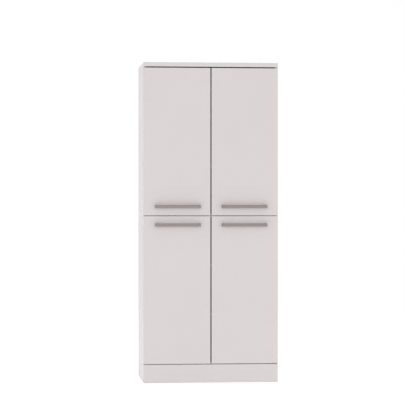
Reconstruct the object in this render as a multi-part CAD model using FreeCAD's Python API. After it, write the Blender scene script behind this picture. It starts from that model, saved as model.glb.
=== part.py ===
"""Tall pantry cabinet: a knock-down carcass of melamine-faced board with two pairs of doors.

Millimetres, +Z up. The front faces -Y and the origin is on the floor, in the middle of the overall
box, handles included. "Forward" is the distance in front of the carcass's front edges, and "inward"
is the distance from the outer face of a side panel. The left half is modelled and the right mirrored.
"""

import os

import FreeCAD, Part
from FreeCAD import Vector

# Overall sizes.
WIDTH = 700.0
HEIGHT = 1660.0
CARCASS_DEPTH = 400.0

# Boards.
SIDE_THICKNESS = 15.0
SHELF_THICKNESS = 15.0
DOOR_THICKNESS = 15.0
PLINTH_THICKNESS = 15.0
TOP_THICKNESS = 22.0
BACK_THICKNESS = 3.0
EDGE_RADIUS = 0.8
TOP_EDGE_RADIUS = 1.5

# Base: glides, front plinth board and rear rail.
GLIDE_HEIGHT = 3.0
GLIDE_LENGTH = 40.0
GLIDE_INSET = 30.0
GLIDE_MARGIN = 1.0
GLIDE_NAIL_RADIUS = 1.5
GLIDE_NAIL_LENGTH = 12.0
PLINTH_TOP = 95.0
RAIL_HEIGHT = 70.0

# Gaps round the doors.
DOOR_STANDOFF = 2.5
DOOR_SIDE_INSET = 0.5
DOOR_PLINTH_GAP = 4.0
DOOR_ROW_GAP = 3.5
DOOR_TOP_GAP = 6.0
DOOR_PAIR_GAP = 6.0

# Back panels, which slide in grooves and meet in a plastic strip behind the middle shelf.
GROOVE_DEPTH = 6.0
GROOVE_REAR_MARGIN = 8.4
GROOVE_CLEARANCE = 0.1
STRIP_WEB = 1.5
STRIP_FLANGE = 1.2
STRIP_HEIGHT = 16.0
STRIP_CLEARANCE = 0.2

# Adjustable shelves and the pins that carry them.
SHELVES_PER_ROW = 2
SHELF_SETBACK = 28.0
SHELF_END_CLEARANCE = 1.5
SHELF_REAR_CLEARANCE = 6.0
PIN_RADIUS = 2.5
PIN_CLEARANCE = 0.05
PIN_DEPTH = 8.0
PIN_HEAD_RADIUS = 3.5
PIN_HEAD_LENGTH = 7.0
PIN_SEAT_RISE = 2.5
PIN_FRONT_INSET = 75.0
PIN_REAR_INSET = 75.0
PIN_HOLE_PITCH = 32.0
PIN_HOLE_STEPS = (-1, 0, 1)

# Cam joints and dowels between the boards. A hole goes on past what is in it by the end clearance.
CAM_RADIUS = 7.5
CAM_PAST_BOLT = 4.5
CAM_INSET = 34.0
CAM_CAVITY_RADIUS = 3.9
CAM_CAVITY_CLEARANCE = 1.5
CAM_CLEARANCE = 0.1
CAM_SLOT_HALF_LENGTH = 4.6
CAM_SLOT_HALF_WIDTH = 0.6
CAM_SLOT_DEPTH = 1.5
BOLT_THREAD_RADIUS = 2.5
BOLT_THREAD_LENGTH = 10.5
BOLT_SHANK_RADIUS = 3.0
BOLT_NECK_RADIUS = 2.0
BOLT_NECK_LENGTH = 2.0
BOLT_HEAD_RADIUS = 3.5
BOLT_HEAD_LENGTH = 3.0
BOLT_PAST_CAM_AXIS = 1.0
BOLT_BORE_RADIUS = 4.0
DOWEL_RADIUS = 4.0
DOWEL_LENGTH = 30.0
DOWEL_IN_SIDE = 10.5
END_CLEARANCE = 0.5
JOINT_FRONT_INSET = 50.0
JOINT_REAR_INSET = 70.0
JOINT_DOWEL_OFFSET = 40.0

# Corner blocks that hold the plinth board and the rear rail to the side panels.
BLOCK_SIZE = 18.0
BLOCK_HEIGHT = 40.0
BLOCK_SCREW_RADIUS = 1.8
BLOCK_SCREW_BITE = 10.0
BLOCK_SCREW_HEAD_RADIUS = 3.6
BLOCK_SCREW_HEAD = 2.0
BLOCK_SIDE_SCREW_DROP = 30.0
BLOCK_BOARD_SCREW_DROP = 14.0

# Screws that fix the lower back panel to the bottom panel.
BACK_SCREW_RADIUS = 1.5
BACK_SCREW_BITE = 14.0
BACK_SCREW_HEAD_RADIUS = 3.5
BACK_SCREW_HEAD = 1.6
BACK_SCREW_COUNT = 4

# Wall bracket, which stops the cabinet from tipping. Its hole goes on through the back panel.
BRACKET_WIDTH = 30.0
BRACKET_LEG = 32.0
BRACKET_THICKNESS = 2.0
BRACKET_CORNER_RADIUS = 5.0
BRACKET_HOLE_RADIUS = 2.75
BRACKET_HOLE_DROP = 20.0
BRACKET_SCREW_RADIUS = 1.8
BRACKET_SCREW_BITE = 12.0
BRACKET_SCREW_SPACING = 16.0
BRACKET_SCREW_FROM_BACK = 19.0

# Concealed single-pin cup hinge. Its axis lies inside the door, near the outer edge.
HINGE_END_INSET = 90.0
CUP_RADIUS = 17.5
CUP_DEPTH = 11.7
CUP_WALL = 0.8
CUP_EDGE_DISTANCE = 3.0
CUP_CLEARANCE = 0.1
CUP_FLANGE_WIDTH = 2.5
CUP_FLANGE_THICKNESS = 1.0
CUP_WING_HALF_LENGTH = 28.0
CUP_WING_HALF_WIDTH = 6.0
CUP_WING_CORNER_RADIUS = 4.8
CUP_SCREW_SPACING = 45.0
CUP_SCREW_OFFSET = 9.5
CUP_SCREW_RADIUS = 1.75
CUP_SCREW_BITE = 10.0
CUP_SCREW_HEAD_RADIUS = 3.6
CUP_SCREW_HEAD = 0.9
AXIS_FROM_DOOR_EDGE = 6.5
KNUCKLE_RADIUS = 1.9
KNUCKLE_CLEARANCE = 0.3
HINGE_PIN_RADIUS = 1.0
HINGE_PIN_CLEARANCE = 0.05
FINGER_WIDTH = 6.4
FINGER_THICKNESS = 2.0
FINGER_BEND_RADIUS = 7.0
LUG_WIDTH = 1.8
LUG_SIDE_CLEARANCE = 0.3
LUG_REACH = 2.6

# The hinge's arm and the plate that it is screwed to. The arm lies on the plate's rail.
ARM_LENGTH = 62.0
ARM_WIDTH = 11.6
ARM_WALL = 1.0
ARM_NECK = 3.0
ARM_SKIRT_START = 8.0
ARM_FLOOR_CLEARANCE = 0.5
PLATE_THICKNESS = 2.5
PLATE_FRONT = 20.0
PLATE_REAR = 58.0
PLATE_HALF_WIDTH = 8.0
PLATE_LINE = 37.0
PLATE_WING_HALF_LENGTH = 24.0
PLATE_WING_HALF_WIDTH = 6.5
PLATE_WING_CORNER_RADIUS = 3.9
PLATE_RAIL_HEIGHT = 4.0
PLATE_RAIL_SETBACK = 2.0
PLATE_RAIL_SIDE_CLEARANCE = 0.3
PLATE_SCREW_SPACING = 32.0
PLATE_SCREW_RADIUS = 2.5
PLATE_SCREW_BITE = 8.5
PLATE_SCREW_HEAD_RADIUS = 4.2
PLATE_SCREW_HEAD = 1.6
ARM_SCREW_RADIUS = 2.0
ARM_SCREW_BITE = 4.0
ARM_SCREW_HEAD_RADIUS = 3.8
ARM_SCREW_HEAD = 1.8
ARM_SCREW_PLACES = (28.0, 50.0)

# Bow handle on each door.
HANDLE_LENGTH = 236.0
HANDLE_HEIGHT = 16.0
HANDLE_PROJECTION = 28.0
HANDLE_BAR = 8.0
HANDLE_POST = 12.0
HANDLE_OUTER_RADIUS = 5.0
HANDLE_INNER_RADIUS = 3.0
HANDLE_EDGE_RADIUS = 2.2
HANDLE_FROM_DOOR_END = 46.0
HANDLE_OFF_CENTRE = 3.0
HANDLE_SCREW_RADIUS = 2.0
HANDLE_SCREW_BITE = 14.0
HANDLE_SCREW_HEAD_RADIUS = 4.2
HANDLE_SCREW_HEAD = 1.9
HANDLE_SCREW_CLEARANCE = 0.2

# Stick-on door bumpers.
BUMPER_RADIUS = 2.4
BUMPER_HEIGHT = 2.3
BUMPER_FROM_EDGE = 25.0

# Cross recesses, as shares of the screw head that each is in.
RECESS_REACH = 0.62
RECESS_HALF_WIDTH = 0.1
RECESS_DEPTH = 0.6

# How near two coordinates are to count as the same, and how far a tool runs past what it cuts or joins.
SAME = 1e-6
OVERRUN = 1.0

# Places worked out from the sizes.
DOOR_FACE = DOOR_STANDOFF + DOOR_THICKNESS
OVERALL_DEPTH = CARCASS_DEPTH + DOOR_FACE + HANDLE_PROJECTION
Y_REAR = OVERALL_DEPTH / 2
Y_FRONT = Y_REAR - CARCASS_DEPTH
X_OUTER = WIDTH / 2
X_INNER = X_OUTER - SIDE_THICKNESS
Z_TOP_UNDERSIDE = HEIGHT - TOP_THICKNESS
DOOR_BOTTOM = PLINTH_TOP + DOOR_PLINTH_GAP
DOOR_HEIGHT = (Z_TOP_UNDERSIDE - DOOR_TOP_GAP - DOOR_BOTTOM - DOOR_ROW_GAP) / 2
DOOR_WIDTH = (WIDTH - 2 * DOOR_SIDE_INSET - DOOR_PAIR_GAP) / 2
Z_ROW_GAP = DOOR_BOTTOM + DOOR_HEIGHT + DOOR_ROW_GAP / 2
Z_BOTTOM_PANEL = PLINTH_TOP + DOOR_PLINTH_GAP / 2 - SHELF_THICKNESS / 2
Z_MIDDLE_SHELF = Z_ROW_GAP - SHELF_THICKNESS / 2
DOOR_ROWS = {
    "lower": (DOOR_BOTTOM, DOOR_BOTTOM + DOOR_HEIGHT),
    "upper": (Z_ROW_GAP + DOOR_ROW_GAP / 2, Z_ROW_GAP + DOOR_ROW_GAP / 2 + DOOR_HEIGHT),
}
COMPARTMENTS = {
    "lower": (Z_BOTTOM_PANEL + SHELF_THICKNESS, Z_MIDDLE_SHELF),
    "upper": (Z_MIDDLE_SHELF + SHELF_THICKNESS, Z_TOP_UNDERSIDE),
}
Y_GROOVE_REAR = Y_REAR - GROOVE_REAR_MARGIN
Y_GROOVE_FRONT = Y_GROOVE_REAR - BACK_THICKNESS - 2 * GROOVE_CLEARANCE
Y_BACK_REAR = Y_GROOVE_REAR - GROOVE_CLEARANCE
Y_BACK_FRONT = Y_BACK_REAR - BACK_THICKNESS
BACK_HALF_WIDTH = X_INNER + GROOVE_DEPTH - END_CLEARANCE
HINGE_AXIS_INWARD = DOOR_SIDE_INSET + AXIS_FROM_DOOR_EDGE
CUP_FLOOR = DOOR_STANDOFF + CUP_DEPTH - CUP_WALL
HINGE_AXIS_FORWARD = CUP_FLOOR - KNUCKLE_CLEARANCE - KNUCKLE_RADIUS
CUP_INWARD = DOOR_SIDE_INSET + CUP_EDGE_DISTANCE + CUP_RADIUS
LUG_HALF_SPAN = FINGER_WIDTH / 2 + LUG_SIDE_CLEARANCE + LUG_WIDTH
ARM_INWARD = SIDE_THICKNESS + PLATE_THICKNESS + PLATE_RAIL_HEIGHT

X_AXIS = Vector(1, 0, 0)
Z_AXIS = Vector(0, 0, 1)


def left_x(inward):
    """X of a place this far inward from the left side panel's outer face."""
    return inward - X_OUTER


def front_y(forward):
    """Y of a place this far in front of the carcass's front edges."""
    return Y_FRONT - forward


def cam_length(board):
    """Length of a cam that reaches past the bolt in the middle of a board of this thickness."""
    return board / 2 + CAM_PAST_BOLT


def same(a, b):
    return abs(a - b) < SAME


def box(x0, x1, y0, y1, z0, z1):
    return Part.makeBox(x1 - x0, y1 - y0, z1 - z0, Vector(x0, y0, z0))


def left_box(inward0, inward1, forward0, forward1, z0, z1):
    """A box in the left half, given by its distances inward and forward."""
    return box(left_x(inward0), left_x(inward1), front_y(forward1), front_y(forward0), z0, z1)


def rod(radius, start, end):
    """A cylinder from one point to another."""
    start, end = Vector(*start), Vector(*end)
    return Part.makeCylinder(radius, start.distanceToPoint(end), start, end - start)


def rod_x(radius, x0, x1, y, z):
    return rod(radius, (x0, y, z), (x1, y, z))


def rod_y(radius, x, y0, y1, z):
    return rod(radius, (x, y0, z), (x, y1, z))


def rod_z(radius, x, y, z0, z1):
    return rod(radius, (x, y, z0), (x, y, z1))


def rounded(shape, radius, chosen):
    """The shape with those of its edges rounded that are chosen."""
    return shape.makeFillet(radius, [edge for edge in shape.Edges if chosen(edge)])


def cut_all(shape, tools):
    return shape.cut(Part.makeCompound(tools))


def mirrored(shape):
    """The shape's copy in the right half of the cabinet."""
    return shape.mirror(Vector(0, 0, 0), X_AXIS)


def both_halves(shapes):
    return [*shapes, *[mirrored(shape) for shape in shapes]]


def slot_box(centre, along, across, into, half_length, half_width, depth):
    """A box sunk from a face: half sizes along and across about the centre, and its depth into the face."""
    corner = centre - along * half_length - across * half_width
    end = corner + along * 2 * half_length
    side = across * 2 * half_width
    outline = Part.makePolygon([corner, end, end + side, corner + side, corner])
    return Part.Face(outline).extrude(into * depth)


def screw(seat, into, radius, bite, head_radius, head):
    """A cross-head screw whose head stands on the seat and whose shank goes into it."""
    seat, into = Vector(*seat), Vector(*into)
    body = Part.makeCylinder(radius, bite, seat, into)
    body = body.fuse(Part.makeCylinder(head_radius, head, seat, into * -1))
    crown = seat - into * head
    first = X_AXIS if same(abs(into.z), 1) else Z_AXIS
    second = into.cross(first)
    reach, half_width = head_radius * RECESS_REACH, head_radius * RECESS_HALF_WIDTH
    recess = [(first, second), (second, first)]
    depth = head * RECESS_DEPTH
    return cut_all(body, [slot_box(crown, a, b, into, reach, half_width, depth) for a, b in recess])


# Places that several pieces share.


def pin_heights():
    """The height of the pins under each adjustable shelf."""
    heights = []
    for low, high in COMPARTMENTS.values():
        clear = (high - low - SHELVES_PER_ROW * SHELF_THICKNESS) / (SHELVES_PER_ROW + 1)
        for n in range(SHELVES_PER_ROW):
            underside = low + clear + n * (clear + SHELF_THICKNESS)
            heights.append(underside - PIN_SEAT_RISE)
    return heights


def pin_places():
    return [front_y(-PIN_FRONT_INSET), Y_BACK_FRONT - PIN_REAR_INSET]


def cam_places():
    return [front_y(-JOINT_FRONT_INSET), Y_BACK_FRONT - JOINT_REAR_INSET]


def dowel_places():
    front, rear = cam_places()
    return [front + JOINT_DOWEL_OFFSET, rear - JOINT_DOWEL_OFFSET]


def cammed_board_middles():
    """The middle heights of the two boards that are cammed between the side panels."""
    return [Z_BOTTOM_PANEL + SHELF_THICKNESS / 2, Z_MIDDLE_SHELF + SHELF_THICKNESS / 2]


def hinge_heights(row):
    low, high = DOOR_ROWS[row]
    return [low + HINGE_END_INSET, high - HINGE_END_INSET]


def plate_screw_offsets():
    return [-PLATE_SCREW_SPACING / 2, PLATE_SCREW_SPACING / 2]


def glide_places():
    return [front_y(-GLIDE_INSET - GLIDE_LENGTH / 2), Y_REAR - GLIDE_INSET - GLIDE_LENGTH / 2]


def rail_front():
    return Y_BACK_FRONT - PLINTH_THICKNESS


def block_places():
    """The near and far Y of the corner blocks behind the plinth board and before the rear rail."""
    return [(Y_FRONT, Y_FRONT + BLOCK_SIZE), (rail_front() - BLOCK_SIZE, rail_front())]


def block_side_screw_z():
    return Z_BOTTOM_PANEL - BLOCK_SIDE_SCREW_DROP


def block_board_screw_z():
    return Z_BOTTOM_PANEL - BLOCK_BOARD_SCREW_DROP


def block_board_screw_x():
    return BLOCK_SIZE / 2 - X_INNER


def bracket_screw_places():
    y = Y_BACK_FRONT - BRACKET_SCREW_FROM_BACK
    return [(-BRACKET_SCREW_SPACING / 2, y), (BRACKET_SCREW_SPACING / 2, y)]


def back_screw_places():
    step = 2 * X_INNER / BACK_SCREW_COUNT
    z = Z_BOTTOM_PANEL + SHELF_THICKNESS / 2
    return [(step * (n + 1 / 2) - X_INNER, z) for n in range(BACK_SCREW_COUNT)]


# Side panels.


def shelf_pin_holes():
    face = left_x(SIDE_THICKNESS)
    end = face - PIN_DEPTH - END_CLEARANCE
    levels = [z + step * PIN_HOLE_PITCH for z in pin_heights() for step in PIN_HOLE_STEPS]
    return [rod_x(PIN_RADIUS + PIN_CLEARANCE, end, face, y, z) for z in levels for y in pin_places()]


def side_joint_holes():
    """Holes for the boards that run from side to side, and for the top panel above."""
    face, middle = left_x(SIDE_THICKNESS), left_x(SIDE_THICKNESS / 2)
    cam_z = Z_TOP_UNDERSIDE - CAM_INSET
    dowel_end = Z_TOP_UNDERSIDE - (DOWEL_LENGTH - DOWEL_IN_SIDE) - END_CLEARANCE
    holes = []
    for y in cam_places():
        end = face - BOLT_THREAD_LENGTH
        holes += [rod_x(BOLT_THREAD_RADIUS, end, face, y, z) for z in cammed_board_middles()]
        end = face - cam_length(SIDE_THICKNESS) - CAM_CLEARANCE
        holes.append(rod_x(CAM_RADIUS + CAM_CLEARANCE, end, face, y, cam_z))
        holes.append(rod_z(BOLT_BORE_RADIUS, middle, y, cam_z, Z_TOP_UNDERSIDE))
    for y in dowel_places():
        end = face - DOWEL_IN_SIDE - END_CLEARANCE
        holes += [rod_x(DOWEL_RADIUS, end, face, y, z) for z in cammed_board_middles()]
        holes.append(rod_z(DOWEL_RADIUS, middle, y, dowel_end, Z_TOP_UNDERSIDE))
    return holes


def side_fitting_holes():
    """Holes for the hinge plates, the glides and the corner blocks."""
    face, middle = left_x(SIDE_THICKNESS), left_x(SIDE_THICKNESS / 2)
    hinges = [z for row in DOOR_ROWS for z in hinge_heights(row)]
    levels = [z + offset for z in hinges for offset in plate_screw_offsets()]
    plate_y = front_y(-PLATE_LINE)
    holes = [rod_x(PLATE_SCREW_RADIUS, face - PLATE_SCREW_BITE, face, plate_y, z) for z in levels]
    nail_top = GLIDE_HEIGHT + GLIDE_NAIL_LENGTH
    holes += [rod_z(GLIDE_NAIL_RADIUS, middle, y, GLIDE_HEIGHT, nail_top) for y in glide_places()]
    for near, far in block_places():
        end = face - BLOCK_SCREW_BITE
        holes.append(rod_x(BLOCK_SCREW_RADIUS, end, face, (near + far) / 2, block_side_screw_z()))
    return holes


def left_side_panel():
    board = left_box(0, SIDE_THICKNESS, -CARCASS_DEPTH, 0, GLIDE_HEIGHT, Z_TOP_UNDERSIDE)
    board = rounded(board, EDGE_RADIUS, lambda e: same(e.CenterOfMass.y, Y_FRONT) and e.Length > HEIGHT / 2)
    face = left_x(SIDE_THICKNESS)
    groove = box(face - GROOVE_DEPTH, face, Y_GROOVE_FRONT, Y_GROOVE_REAR, Z_BOTTOM_PANEL, Z_TOP_UNDERSIDE)
    return cut_all(board, [groove, *shelf_pin_holes(), *side_joint_holes(), *side_fitting_holes()])


# Boards that run from side to side.


def top_panel():
    board = box(-X_OUTER, X_OUTER, front_y(DOOR_FACE), Y_REAR, Z_TOP_UNDERSIDE, HEIGHT)
    board = rounded(board, TOP_EDGE_RADIUS, lambda e: e.CenterOfMass.y < Y_REAR - SAME)
    low, middle = Z_TOP_UNDERSIDE, left_x(SIDE_THICKNESS / 2)
    half = BACK_HALF_WIDTH + END_CLEARANCE
    groove = box(-half, half, Y_GROOVE_FRONT, Y_GROOVE_REAR, low, low + GROOVE_DEPTH)
    bolts = [rod_z(BOLT_THREAD_RADIUS, middle, y, low, low + BOLT_THREAD_LENGTH) for y in cam_places()]
    dowel_end = low + DOWEL_IN_SIDE + END_CLEARANCE
    pegs = [rod_z(DOWEL_RADIUS, middle, y, low, dowel_end) for y in dowel_places()]
    screw_end = low + BRACKET_SCREW_BITE
    screws = [rod_z(BRACKET_SCREW_RADIUS, x, y, low, screw_end) for x, y in bracket_screw_places()]
    return cut_all(board, [groove, *both_halves(bolts + pegs), *screws])


def cammed_board(z, y_rear):
    """A board between the side panels, bored in its ends and underside for the cams and dowels."""
    board = box(-X_INNER, X_INNER, Y_FRONT, y_rear, z, z + SHELF_THICKNESS)
    board = rounded(board, EDGE_RADIUS, lambda e: same(e.CenterOfMass.y, Y_FRONT) and e.Length > X_INNER)
    middle = z + SHELF_THICKNESS / 2
    cam_x = CAM_INSET - X_INNER
    dowel_end = DOWEL_LENGTH - DOWEL_IN_SIDE + END_CLEARANCE - X_INNER
    holes = [rod_x(DOWEL_RADIUS, -X_INNER, dowel_end, y, middle) for y in dowel_places()]
    for y in cam_places():
        end = z + cam_length(SHELF_THICKNESS) + CAM_CLEARANCE
        holes.append(rod_z(CAM_RADIUS + CAM_CLEARANCE, cam_x, y, z, end))
        holes.append(rod_x(BOLT_BORE_RADIUS, -X_INNER, cam_x, y, middle))
    return cut_all(board, both_halves(holes))


def bottom_panel():
    board = cammed_board(Z_BOTTOM_PANEL, Y_BACK_FRONT)
    end = Y_BACK_REAR - BACK_SCREW_BITE
    holes = [rod_y(BACK_SCREW_RADIUS, x, end, Y_BACK_FRONT, z) for x, z in back_screw_places()]
    return cut_all(board, holes)


def middle_shelf():
    return cammed_board(Z_MIDDLE_SHELF, Y_BACK_FRONT - STRIP_FLANGE - STRIP_CLEARANCE)


def adjustable_shelf(pin_z):
    z = pin_z + PIN_SEAT_RISE
    end, front = X_INNER - SHELF_END_CLEARANCE, front_y(-SHELF_SETBACK)
    board = box(-end, end, front, Y_BACK_FRONT - SHELF_REAR_CLEARANCE, z, z + SHELF_THICKNESS)
    return rounded(board, EDGE_RADIUS, lambda e: same(e.CenterOfMass.y, front))


def block_board_screw_holes(y):
    """The holes in the plinth board or the rear rail for the corner blocks' screws."""
    x, z = block_board_screw_x(), block_board_screw_z()
    return both_halves([rod_y(BLOCK_SCREW_RADIUS, x, y, y + BLOCK_SCREW_BITE, z)])


def plinth_board():
    """The board that closes the base, below the doors and nearly level with their faces."""
    end, face = X_OUTER - DOOR_SIDE_INSET, front_y(PLINTH_THICKNESS)
    board = box(-end, end, face, Y_FRONT, GLIDE_HEIGHT, PLINTH_TOP)
    board = rounded(board, EDGE_RADIUS, lambda e: same(e.CenterOfMass.y, face))
    return cut_all(board, block_board_screw_holes(Y_FRONT - BLOCK_SCREW_BITE))


def rear_plinth_rail():
    front = rail_front()
    board = box(-X_INNER, X_INNER, front, Y_BACK_FRONT, Z_BOTTOM_PANEL - RAIL_HEIGHT, Z_BOTTOM_PANEL)
    return cut_all(board, block_board_screw_holes(front))


# Back.


def back_board(low, high, holes):
    board = box(-BACK_HALF_WIDTH, BACK_HALF_WIDTH, Y_BACK_FRONT, Y_BACK_REAR, low, high)
    return cut_all(board, [rod_y(radius, x, Y_BACK_FRONT, Y_BACK_REAR, z) for radius, x, z in holes])


def upper_back_panel():
    low = Z_ROW_GAP + STRIP_WEB / 2 + STRIP_CLEARANCE
    high = Z_TOP_UNDERSIDE + GROOVE_DEPTH - END_CLEARANCE
    return back_board(low, high, [(BRACKET_HOLE_RADIUS, 0, Z_TOP_UNDERSIDE - BRACKET_HOLE_DROP)])


def lower_back_panel():
    high = Z_ROW_GAP - STRIP_WEB / 2 - STRIP_CLEARANCE
    return back_board(Z_BOTTOM_PANEL, high, [(BACK_SCREW_RADIUS, x, z) for x, z in back_screw_places()])


def back_panel_screws():
    sizes = (BACK_SCREW_RADIUS, BACK_SCREW_BITE, BACK_SCREW_HEAD_RADIUS, BACK_SCREW_HEAD)
    return [screw((x, Y_BACK_REAR, z), (0, -1, 0), *sizes) for x, z in back_screw_places()]


def back_joining_strip():
    """An H-section strip that takes the edges of both back panels."""
    end, half = X_INNER - STRIP_CLEARANCE, STRIP_HEIGHT / 2
    web = box(-end, end, Y_BACK_FRONT, Y_BACK_REAR, Z_ROW_GAP - STRIP_WEB / 2, Z_ROW_GAP + STRIP_WEB / 2)
    front = box(-end, end, Y_BACK_FRONT - STRIP_FLANGE, Y_BACK_FRONT, Z_ROW_GAP - half, Z_ROW_GAP + half)
    rear = box(-end, end, Y_BACK_REAR, Y_BACK_REAR + STRIP_FLANGE, Z_ROW_GAP - half, Z_ROW_GAP + half)
    return web.fuse([front, rear]).removeSplitter()


# Fittings in the carcass.


def shelf_pin(y, z):
    """A pin whose head is flat on top, where the shelf lies on it."""
    face = left_x(SIDE_THICKNESS)
    end = face + PIN_HEAD_LENGTH
    head = rod_x(PIN_HEAD_RADIUS, face, end, y, z)
    above = box(face, end, y - PIN_HEAD_RADIUS, y + PIN_HEAD_RADIUS, z + PIN_SEAT_RISE, z + PIN_HEAD_RADIUS)
    return rod_x(PIN_RADIUS, face - PIN_DEPTH, face, y, z).fuse(head.cut(above))


def shelf_pins():
    return both_halves([shelf_pin(y, z) for z in pin_heights() for y in pin_places()])


def cam(mouth, into, towards_bolt, board):
    """A cam housing in a hole of a board's face, open towards the bolt in the middle of the board."""
    mouth, into, towards_bolt = Vector(*mouth), Vector(*into), Vector(*towards_bolt)
    body = Part.makeCylinder(CAM_RADIUS, cam_length(board), mouth, into)
    start = mouth + into * board / 2 - towards_bolt * (BOLT_PAST_CAM_AXIS + CAM_CAVITY_CLEARANCE)
    cavity = Part.makeCylinder(CAM_CAVITY_RADIUS, 2 * CAM_RADIUS, start, towards_bolt)
    sizes = (CAM_SLOT_HALF_LENGTH, CAM_SLOT_HALF_WIDTH, CAM_SLOT_DEPTH)
    slot = slot_box(mouth, into.cross(towards_bolt), towards_bolt, into, *sizes)
    return cut_all(body, [cavity, slot])


def cam_housings():
    made = []
    for y in cam_places():
        for z in (Z_BOTTOM_PANEL, Z_MIDDLE_SHELF):
            made.append(cam((CAM_INSET - X_INNER, y, z), (0, 0, 1), (-1, 0, 0), SHELF_THICKNESS))
        mouth = (left_x(SIDE_THICKNESS), y, Z_TOP_UNDERSIDE - CAM_INSET)
        made.append(cam(mouth, (-1, 0, 0), (0, 0, 1), SIDE_THICKNESS))
    return both_halves(made)


def cam_bolt(seat, into):
    """A cam bolt: its thread goes into the seat, and its shank runs back to a head inside the cam."""
    seat, into = Vector(*seat), Vector(*into)
    length = CAM_INSET + BOLT_PAST_CAM_AXIS
    shank = length - BOLT_HEAD_LENGTH - BOLT_NECK_LENGTH
    thread = Part.makeCylinder(BOLT_THREAD_RADIUS, BOLT_THREAD_LENGTH, seat, into)
    stem = Part.makeCylinder(BOLT_SHANK_RADIUS, shank, seat, into * -1)
    neck = Part.makeCylinder(BOLT_NECK_RADIUS, length, seat, into * -1)
    head_start = seat - into * (length - BOLT_HEAD_LENGTH)
    head = Part.makeCylinder(BOLT_HEAD_RADIUS, BOLT_HEAD_LENGTH, head_start, into * -1)
    return thread.fuse([stem, neck, head])


def cam_bolts():
    made = []
    for y in cam_places():
        made += [cam_bolt((-X_INNER, y, z), (-1, 0, 0)) for z in cammed_board_middles()]
        made.append(cam_bolt((left_x(SIDE_THICKNESS / 2), y, Z_TOP_UNDERSIDE), (0, 0, 1)))
    return both_halves(made)


def dowels():
    rest = DOWEL_LENGTH - DOWEL_IN_SIDE
    middle, low, high = left_x(SIDE_THICKNESS / 2), Z_TOP_UNDERSIDE - rest, Z_TOP_UNDERSIDE + DOWEL_IN_SIDE
    made = []
    for y in dowel_places():
        ends = (-X_INNER - DOWEL_IN_SIDE, rest - X_INNER)
        made += [rod_x(DOWEL_RADIUS, *ends, y, z) for z in cammed_board_middles()]
        made.append(rod_z(DOWEL_RADIUS, middle, y, low, high))
    return both_halves(made)


def corner_blocks():
    made = []
    inner, low = BLOCK_SIZE - X_INNER, Z_BOTTOM_PANEL - BLOCK_HEIGHT
    for near, far in block_places():
        block = box(-X_INNER, inner, near, far, low, Z_BOTTOM_PANEL)
        across = rod_x(BLOCK_SCREW_RADIUS, -X_INNER, inner, (near + far) / 2, block_side_screw_z())
        along = rod_y(BLOCK_SCREW_RADIUS, block_board_screw_x(), near, far, block_board_screw_z())
        made.append(cut_all(block, [across, along]))
    return both_halves(made)


def corner_block_screws():
    """Each block's screws: one into the side panel and one into the board beside it."""
    sizes = (BLOCK_SCREW_RADIUS, BLOCK_SIZE + BLOCK_SCREW_BITE, BLOCK_SCREW_HEAD_RADIUS, BLOCK_SCREW_HEAD)
    (front_near, front_far), (rear_near, rear_far) = block_places()
    seats = [(front_far, -1, (front_near + front_far) / 2), (rear_near, 1, (rear_near + rear_far) / 2)]
    made = []
    for seat_y, into_y, middle in seats:
        made.append(screw((BLOCK_SIZE - X_INNER, middle, block_side_screw_z()), (-1, 0, 0), *sizes))
        made.append(screw((block_board_screw_x(), seat_y, block_board_screw_z()), (0, into_y, 0), *sizes))
    return both_halves(made)


def floor_glides():
    """Plastic feet under the side panels' edges, each with its nail."""
    outer, inner = left_x(GLIDE_MARGIN), left_x(SIDE_THICKNESS - GLIDE_MARGIN)
    middle, nail_top = left_x(SIDE_THICKNESS / 2), GLIDE_HEIGHT + GLIDE_NAIL_LENGTH
    made = []
    for y in glide_places():
        foot = box(outer, inner, y - GLIDE_LENGTH / 2, y + GLIDE_LENGTH / 2, 0, GLIDE_HEIGHT)
        foot = rounded(foot, GLIDE_MARGIN, lambda e: same(e.CenterOfMass.z, 0))
        made.append(foot.fuse(rod_z(GLIDE_NAIL_RADIUS, middle, y, GLIDE_HEIGHT, nail_top)))
    return both_halves(made)


def wall_bracket():
    """An angle under the top panel, with a hole for the wall screw in its upright leg."""
    half, top = BRACKET_WIDTH / 2, Z_TOP_UNDERSIDE
    front, low = Y_BACK_FRONT - BRACKET_LEG, top - BRACKET_LEG
    flat = box(-half, half, front, Y_BACK_FRONT, top - BRACKET_THICKNESS, top)
    upright = box(-half, half, Y_BACK_FRONT - BRACKET_THICKNESS, Y_BACK_FRONT, low, top)
    body = flat.fuse(upright).removeSplitter()

    def free_corner(edge):
        point = edge.CenterOfMass
        at_end = same(point.y, front) or same(point.z, low)
        return same(abs(point.x), half) and at_end

    body = rounded(body, BRACKET_CORNER_RADIUS, free_corner)
    wall_hole = rod_y(BRACKET_HOLE_RADIUS, 0, front, Y_BACK_FRONT, top - BRACKET_HOLE_DROP)
    under = top - BRACKET_THICKNESS
    screws = [rod_z(BRACKET_SCREW_RADIUS, x, y, under, top) for x, y in bracket_screw_places()]
    return cut_all(body, [wall_hole, *screws])


def wall_bracket_screws():
    bite = BRACKET_SCREW_BITE + BRACKET_THICKNESS
    sizes = (BRACKET_SCREW_RADIUS, bite, BACK_SCREW_HEAD_RADIUS, BACK_SCREW_HEAD)
    seat = Z_TOP_UNDERSIDE - BRACKET_THICKNESS
    return [screw((x, y, seat), (0, 0, 1), *sizes) for x, y in bracket_screw_places()]


# Hinges. Each function makes the left half's piece at a height.


def hinge_cylinder(radius, half_length, z):
    """A cylinder on the left doors' hinge axis."""
    x, y = left_x(HINGE_AXIS_INWARD), front_y(HINGE_AXIS_FORWARD)
    return rod_z(radius, x, y, z - half_length, z + half_length)


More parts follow.
